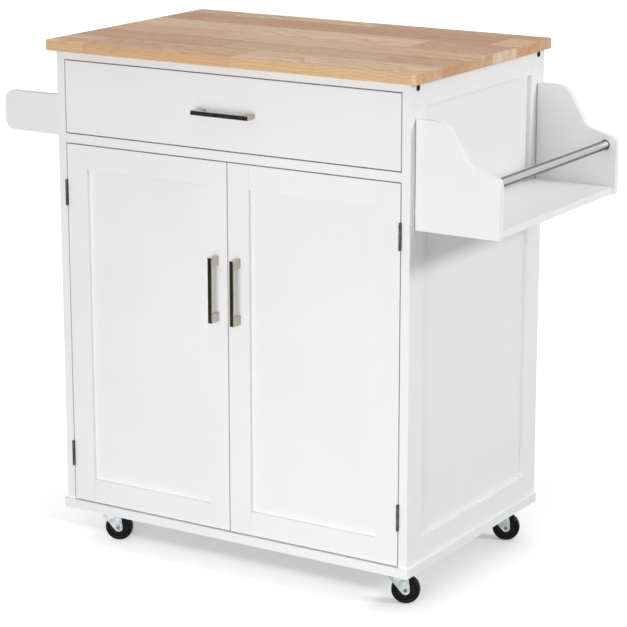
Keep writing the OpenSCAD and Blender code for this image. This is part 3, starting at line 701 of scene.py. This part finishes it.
# Polished zinc alloy pulls: a square bar on two square feet, with the inside corners cast round.
def makePull(node, body, along, material):
    low, high = span(node)
    half = (high - low).dot(Vector(along)) / 2 / mm
    wide = (high.z - low.z if along[0] else high.x - low.x) / mm
    out = (high.y - low.y) / mm
    base = middle(node)
    base.y = high.y
    place = facingOut(base, (0, -1, 0), along)
    inner = half - pull["post"]
    under = out - pull["bar"]
    fillet = pull["fillet"]
    outline = [(-half, 0), (-half, out), (half, out), (half, 0), (inner, 0)]
    for step in range(pull["filletSteps"] + 1):
        angle = math.pi / 2 * step / pull["filletSteps"]
        outline.append((inner - fillet * (1 - math.cos(angle)), under - fillet * (1 - math.sin(angle))))
    outline += [(-u, w) for u, w in reversed(outline[4:])]
    bm = bmesh.new()
    ends = [[bm.verts.new(place(u, v, w)) for u, w in outline] for v in (-wide / 2, wide / 2)]
    bm.faces.new(ends[0])
    bm.faces.new(ends[1])
    for i in range(len(outline)):
        j = (i + 1) % len(outline)
        bm.faces.new((ends[0][i], ends[0][j], ends[1][j], ends[1][i]))
    piece = addPiece(node + "Polished", bm, material, body, pull["edge"], 3)
    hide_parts(node)
    return [place(sign * (half - pull["post"] / 2), 0, 0) for sign in (-1, 1)]


screwHead = {
    "sink": 0.2,  # mm into the board or leaf
    # Shares of the radius and of the height, from the rim into the recess, and how deep the cross is cut.
    "shape": [(1.0, 0.35, 0.0), (0.94, 0.6, 0.0), (0.8, 0.85, 0.0), (0.6, 1.0, 0.0), (0.46, 1.0, 0.62),
              (0.36, 0.4, 0.62), (0.0, 0.3, 0.0)],
}


# Low round heads with a cross recess, several on one piece.
def makeScrews(name, spots, out, body, size, material):
    radius, height = size["radius"], size["height"]
    along = (0, 0, 1) if abs(out[2]) < 0.5 else (1, 0, 0)
    profile = [(0, -screwHead["sink"]), (radius, -screwHead["sink"])]
    profile += [(r * radius, h * height, lobe) for r, h, lobe in screwHead["shape"]]
    bm = bmesh.new()
    for spot in spots:
        spinProfile(bm, profile, facingOut(Vector(spot), out, along), flats["screw"])
    return addPiece(name, bm, material, body)


feet = {
    "drawer_pull": makePull("drawer_pull", "drawer", (1, 0, 0), satinNickelX),
    "left_door_pull": makePull("left_door_pull", "left_door", (0, 0, 1), satinNickelZ),
    "right_door_pull": makePull("right_door_pull", "right_door", (0, 0, 1), satinNickelZ),
}
for node, body, board in (("drawer_pull", "drawer", "drawer_front"),
                          ("left_door_pull", "left_door", "left_door_stiles"),
                          ("right_door_pull", "right_door", "right_door_stiles")):
    behind = span(board)[1].y
    makeScrews(node + "Screws", [(p.x, behind, p.z) for p in feet[node]], (0, 1, 0), body, pull["screw"],
               zincPlate)
print("pulls made")


# All in mm, apart from the steps.
wheel = {
    "half": 8.0,  # from the middle to a side wall
    "crown": 0.5,  # how far the middle of the tread stands over its edges
    "shoulder": 2.5,
    "shoulderSteps": 6,
    "line": 0.25,  # height of the mould's parting line
    "rim": 6.0,  # side wall outside the dish
    "groove": 0.35,  # depth of the line round the rim
    "dish": 2.0,
    "hub": 8.0,
    "boss": 0.9,
    "bore": 2.68,
}

rollAxes = {joint["name"]: joint["axis"] for joint in frame["joints"]}


# Moulded wheels: crowned tread with a parting line, rounded shoulders, stepped rim, dished web, raised hub.
def makeWheel(corner):
    node = corner + "_wheel"
    low, high = span(node)
    radius = (high.z - low.z) / 2 / mm
    axle = Vector(rollAxes[corner + "_roll"])
    half = wheel["half"]
    web = half - wheel["dish"]
    side = [(wheel["bore"], half + wheel["boss"]), (wheel["hub"] - 0.6, half + wheel["boss"]),
            (wheel["hub"], half + wheel["boss"] - 0.6), (wheel["hub"] + 0.8, web + 0.5),
            (wheel["hub"] + 1.8, web)]
    rim = radius - wheel["rim"]
    groove = half - wheel["groove"]
    side += [(rim - 2.2, web), (rim - 1.2, web + 0.6), (rim - 0.4, half - 0.3), (rim + 0.3, half),
             (rim + 1.6, half), (rim + 1.9, groove), (rim + 2.3, groove), (rim + 2.6, half)]
    shoulder = wheel["shoulder"]
    edge = radius - wheel["crown"] - shoulder
    for step in range(wheel["shoulderSteps"] + 1):
        angle = math.pi / 2 * step / wheel["shoulderSteps"]
        side.append((edge + shoulder * math.sin(angle), half - shoulder * (1 - math.cos(angle))))
    tread = radius - wheel["line"]
    side += [(radius - 0.6 * wheel["crown"], 3.6), (tread, 1.4), (tread, 0.35), (radius, 0.18)]
    profile = side + [(r, -h) for r, h in reversed(side)]
    bm = bmesh.new()
    spinProfile(bm, profile, facingOut(middle(node), axle, (0, 0, 1)), flats["wheel"], closed=True)
    piece = addPiece(corner + "WheelMoulded", bm, wheelPlastic, corner + "_roller")
    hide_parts(node)


for corner in casterNames:
    makeWheel(corner)
print("wheels made")


hinge = {
    "tall": 44.0,  # mm along the barrel
    "screw": {"radius": 2.3, "height": 0.2},
    "screwSpread": 12.0,  # mm above and below the middle of a hinge
    "screwIn": 6.0,  # mm from the back edge of a leaf
    "leafOff": 0.4,  # mm from the pin's axis to a leaf's face
    "tip": {"radius": 2.2, "height": 1.5, "gap": 0.05},
    # Shares of the radius and of the height, from the rim of a tip to its point.
    "tipShape": [(1.0, 0.3), (0.86, 0.55), (0.62, 0.8), (0.3, 0.96), (0.0, 1.0)],
}


# Small turned tips close the barrels, and flat screws hold the leaves.
def makeHingeDetails():
    pinLow, pinHigh = span("hinge_pins")
    leafLow, leafHigh = span("hinge_frame_leaves")
    barrel = (pinLow.y + pinHigh.y) / 2
    half = hinge["tall"] * mm / 2
    heights = (leafLow.z + half, leafHigh.z - half)
    back = leafHigh.y - hinge["screwIn"] * mm
    radius, height = hinge["tip"]["radius"], hinge["tip"]["height"]
    cap = [(0, hinge["tip"]["gap"]), (radius, hinge["tip"]["gap"])]
    cap += [(r * radius, h * height) for r, h in hinge["tipShape"]]
    tips = bmesh.new()
    framed = {"left": [], "right": []}
    ways = {"left": 1, "right": -1}
    for side, inward in ways.items():
        leaves = span(side + "_hinge_leaves")
        axis = (leaves[0].x + leaves[1].x) / 2
        held = []
        for z in heights:
            for sign in (-1, 1):
                end = Vector((axis, barrel, z + sign * half))
                spinProfile(tips, cap, facingOut(end, (0, 0, sign), (1, 0, 0)), flats["tip"])
                spot = z + sign * hinge["screwSpread"] * mm
                held.append((axis + inward * hinge["leafOff"] * mm, back, spot))
                framed[side].append((axis - inward * hinge["leafOff"] * mm, back, spot))
        makeScrews(side + "DoorHingeScrews", held, (-inward, 0, 0), side + "_door", hinge["screw"],
                   hingeNickelPaintedDark)
    addPiece("hingeBarrelTips", tips, hingeNickelPaintedDark, "cabinet")
    for side, inward in ways.items():
        makeScrews(side + "FrameHingeScrews", framed[side], (inward, 0, 0), "cabinet", hinge["screw"],
                   hingeNickelPaintedDark)


makeHingeDetails()

# In mm: the plates' size, the step between the two plates, how far they stand out and go in.
catch = {"wide": 15.0, "thick": 1.2, "gap": 5.0, "out": 0.2, "in": 1.0, "rounding": 0.1}


# Two magnets between pressed pole plates look out of the front of the catch.
def makeCatchDetails():
    face = span("door_catch")[0].y
    high = middle("door_catch").z
    bm = bmesh.new()
    for side in ("left", "right"):
        strike = middle(side + "_door_strike")
        for z in (-0.5, 0.5):
            place = facingOut(Vector((strike.x, face, high + z * catch["gap"] * mm)), (0, -1, 0), (1, 0, 0))
            wide, tall = catch["wide"] / 2, catch["thick"] / 2
            outline = [(-wide, -tall), (wide, -tall), (wide, tall), (-wide, tall)]
            steps = ((-catch["in"], 1.0), (catch["out"] - catch["rounding"], 1.0), (catch["out"], 0.97))
            layers = [[bm.verts.new(place(u * k, v * k, w)) for u, v in outline] for w, k in steps]
            bm.faces.new(layers[0])
            bm.faces.new(layers[2])
            for under, over in zip(layers, layers[1:]):
                for i in range(4):
                    bm.faces.new((under[i], under[(i + 1) % 4], over[(i + 1) % 4], over[i]))
    addPiece("catchPolePlates", bm, magnet, "cabinet")


makeCatchDetails()

brads = {"count": 7, "inset": 24.0, "size": {"radius": 2.0, "height": 0.5}}  # mm


# Small nail heads hold the back board to the rear rail.
def makeBrads():
    low, high = span("back_panel")
    rail = middle("rear_top_rail").z
    wide = high.x - low.x - 2 * brads["inset"] * mm
    spots = [(low.x + brads["inset"] * mm + wide * i / (brads["count"] - 1), high.y, rail)
             for i in range(brads["count"])]
    makeScrews("backPanelNails", spots, (0, 1, 0), "cabinet", brads["size"], zincPlate)


makeBrads()

shadowRing = {"reach": 0.9, "thick": 0.5, "overlap": 0.1}  # mm


# A thin dark ring round each rail where it goes into its end boards stands in for the shade in the bored
# hole: painted shadow.
def makeRailShadowRings(bar, front, rear, name):
    low, high = span(bar)
    radius = (high.z - low.z) / 2 / mm
    center = middle(bar)
    bm = bmesh.new()
    for y, out in ((span(front)[1].y, (0, 1, 0)), (span(rear)[0].y, (0, -1, 0))):
        inner, outer = radius - shadowRing["overlap"], radius + shadowRing["reach"]
        thick = shadowRing["thick"]
        profile = [(inner, -shadowRing["overlap"]), (outer, -shadowRing["overlap"]), (outer, 0.6 * thick),
                   (outer - 0.4, thick), (inner, thick)]
        place = facingOut(Vector((center.x, y, center.z)), out, (0, 0, 1))
        spinProfile(bm, profile, place, flats["ring"], closed=True)
    addPiece(name, bm, wheelPlastic, "cabinet")


makeRailShadowRings("rack_bar", "rack_front_panel", "rack_rear_panel", "rackRailShadowRings")
makeRailShadowRings("towel_bar", "towel_front_bracket", "towel_rear_bracket", "towelRailShadowRings")
print("small parts made")

stage = {
    "floor": "#F7F7F7",
    "glow": (0.21, 0.58),  # painted light from the paper itself: weaker near the cart, as a painted shadow, and stronger far from it
    "glowReach": (0.35, 1.25),  # m from a point behind the middle
    "glowMiddle": (0.15, 0.2, 0.0),
    "paintedFrontGlow": 0.48,  # painted light on the paper under the front edge of the cart
    "frontReach": (-0.17, -0.085),  # m, from full to none in Y
    "frontEnd": (0.22, 0.31),  # m, from full to none in X
    # Brightness round the cart: below it, at its height, half way up, straight above.
    "around": [(0.0, 0.30), (0.5, 0.30), (0.75, 0.53), (1.0, 0.93)],
    "floorReach": 30.0,  # m
    "floorShade": "#F5F5F5",
    "card": ((-7, -8), (4, -1.15)),  # m, its near and far corners
    "cardHeight": 0.03,
    "cloth": ("#040201", "#120B06"),
}

# Where each light stands and what it looks at, in m.
lamps = {
    "topLight": {"place": (0.3, 0.2, 4.0), "aim": (0, 0, 0), "size": 2.6, "watts": 6.5},
    "frontLight": {"place": (0.7, -3.0, 0.7), "aim": (0, -0.2, 0.5), "size": 1.4, "watts": 41.0},
    "bounceLight": {"place": (0.1, -1.4, 0.15), "aim": (0, -0.2, 0.3), "size": 0.9, "watts": 3.2},
    "sideLight": {"place": (4.2, 0.95, 2.4), "aim": (0.3, 0, 0.6), "size": 0.7, "watts": 84.0},
}


def makePlane(name, low, high, z, material):
    mesh = bpy.data.meshes.new(name)
    corners = [(low[0], low[1], z), (high[0], low[1], z), (high[0], high[1], z), (low[0], high[1], z)]
    mesh.from_pydata(corners, [], [(0, 1, 2, 3)])
    mesh.materials.append(material)
    plane = bpy.data.objects.new(name, mesh)
    bpy.context.scene.collection.objects.link(plane)
    return plane


def makeStage():
    # Matt white studio paper with hardly any shine.
    material, tree, surface, place = startMaterial("studioPaperPaintedGlow", Roughness=0.95)
    surface.inputs["Specular IOR Level"].default_value = 0.1
    fibre = addNode(tree, "ShaderNodeTexNoise", {"Scale": 300.0}, {"Vector": place})
    tone = addNode(tree, "ShaderNodeValToRGB",
                   {"stops": [(0.3, toLinear(stage["floorShade"])), (0.7, toLinear(stage["floor"]))]},
                   {"Fac": fibre.outputs["Fac"]})
    connect(tree, tone.outputs["Color"], surface, "Base Color")
    # Painted light and shade: the paper glows less round the cart, as a painted shadow, and more under its
    # front edge.
    surface.inputs["Emission Color"].default_value = gray(1.0)
    away = addNode(tree, "ShaderNodeVectorMath", {"operation": "DISTANCE", 1: stage["glowMiddle"]},
                   {0: place})
    glow = addNode(tree, "ShaderNodeMapRange",
                   {"interpolation_type": "SMOOTHSTEP",
                    "From Min": stage["glowReach"][0], "From Max": stage["glowReach"][1],
                    "To Min": stage["glow"][0], "To Max": stage["glow"][1]},
                   {"Value": away.outputs["Value"]})
    spot = addNode(tree, "ShaderNodeSeparateXYZ", links={"Vector": place})
    forward = addNode(tree, "ShaderNodeMapRange",
                      {"interpolation_type": "SMOOTHSTEP",
                       "From Min": stage["frontReach"][0], "From Max": stage["frontReach"][1],
                       "To Min": stage["paintedFrontGlow"], "To Max": 0.0},
                      {"Value": spot.outputs["Y"]})
    sideways = addNode(tree, "ShaderNodeMapRange",
                       {"interpolation_type": "SMOOTHSTEP",
                        "From Min": stage["frontEnd"][0], "From Max": stage["frontEnd"][1],
                        "To Min": 1.0, "To Max": 0.0},
                       {"Value": spot.outputs["X"]})
    under = addNode(tree, "ShaderNodeMath", {"operation": "MULTIPLY"},
                    {0: forward.outputs["Result"], 1: sideways.outputs["Result"]})
    paintedFloorLight = addNode(tree, "ShaderNodeMath", {"operation": "MAXIMUM"},
                       {0: under.outputs[0], 1: glow.outputs["Result"]})
    connect(tree, paintedFloorLight.outputs[0], surface, "Emission Strength")
    reach = stage["floorReach"]
    floor = makePlane("floor", (-reach, -reach), (reach, reach), 0.0, material)
    floor.visible_diffuse = False  # the light that the floor sends up comes from the studio's own colours

    # A black card in front keeps the paper out of the mirror of the nickel; it throws no shade.
    cloth, tree, surface, place = startMaterial("blackFlagCloth", Roughness=0.9)
    weave = addNode(tree, "ShaderNodeTexNoise", {"Scale": 200.0}, {"Vector": place})
    tone = addNode(tree, "ShaderNodeValToRGB",
                   {"stops": [(0.3, toLinear(stage["cloth"][0])), (0.7, toLinear(stage["cloth"][1]))]},
                   {"Fac": weave.outputs["Fac"]})
    connect(tree, tone.outputs["Color"], surface, "Base Color")
    card = makePlane("flagCard", *stage["card"], stage["cardHeight"], cloth)
    card.visible_camera = False
    card.visible_diffuse = False
    card.visible_shadow = False

    world = bpy.data.worlds.new("studio")
    world.use_nodes = True
    tree = world.node_tree
    around = addNode(tree, "ShaderNodeTexCoord")
    axes = addNode(tree, "ShaderNodeSeparateXYZ", links={"Vector": around.outputs["Generated"]})
    rise = addNode(tree, "ShaderNodeMapRange", {"From Min": -1.0, "From Max": 1.0},
                   {"Value": axes.outputs["Z"]})
    walls = addNode(tree, "ShaderNodeValToRGB", {"stops": [(p, gray(v)) for p, v in stage["around"]]},
                    {"Fac": rise.outputs["Result"]})
    tree.links.new(walls.outputs["Color"], tree.nodes["Background"].inputs["Color"])
    bpy.context.scene.world = world

    for name, lamp in lamps.items():
        place = Vector(lamp["place"])
        data = bpy.data.lights.new(name, "AREA")
        data.shape = "SQUARE"
        data.size = lamp["size"]
        data.energy = lamp["watts"]
        light = bpy.data.objects.new(name, data)
        light.location = place
        light.visible_camera = False
        light.rotation_mode = "QUATERNION"
        light.rotation_quaternion = (Vector(lamp["aim"]) - place).to_track_quat("-Z", "Y")
        bpy.context.scene.collection.objects.link(light)
    bpy.context.scene.view_settings.view_transform = "Standard"


makeStage()
print("floor and lights placed")
